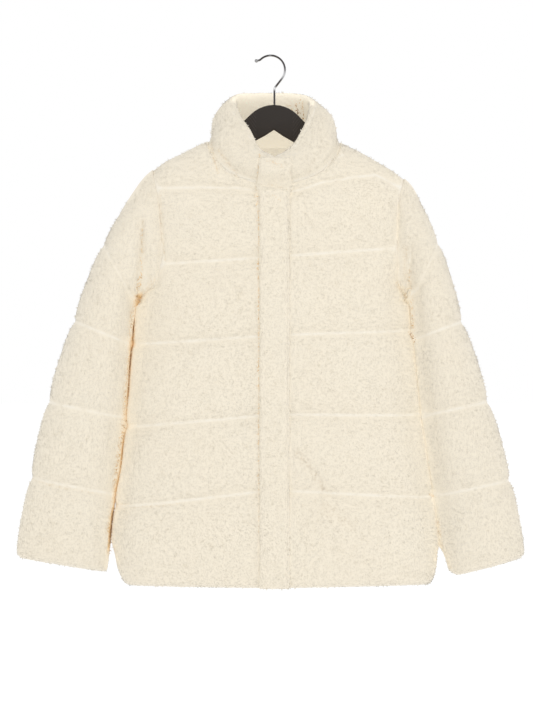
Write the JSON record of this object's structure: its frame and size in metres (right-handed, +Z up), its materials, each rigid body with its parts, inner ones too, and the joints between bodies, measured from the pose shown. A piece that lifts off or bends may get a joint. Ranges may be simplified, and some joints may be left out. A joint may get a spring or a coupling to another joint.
{
  "type": "sherpa puffer jacket on a clothes hanger",
  "caption": "Short quilted puffer jacket in curly pile cloth with a stand collar and front flap, hanging closed on a hanger with a wire hook.",
  "frame": {"origin": "under the crown of the hook's wire, where a rail or peg carries it", "axes": "+Z up through the hanger, the jacket's front faces -Y, the wearer's left is +X"},
  "size_m": [0.7647, 0.1397, 0.7995],
  "materials": {
    "sherpa_pile": "short curly pile, matte with soft sheen",
    "hanger_plastic": "matte",
    "hook_wire": "polished"
  },
  "bodies": {
    "root": {"front_right": "sherpa_pile", "front_left": "sherpa_pile", "back": "sherpa_pile", "sleeve_right": "sherpa_pile", "sleeve_left": "sherpa_pile", "collar": "sherpa_pile", "placket": "sherpa_pile", "hanger": "hanger_plastic", "hook": "hook_wire"}
  },
  "joints": []
}
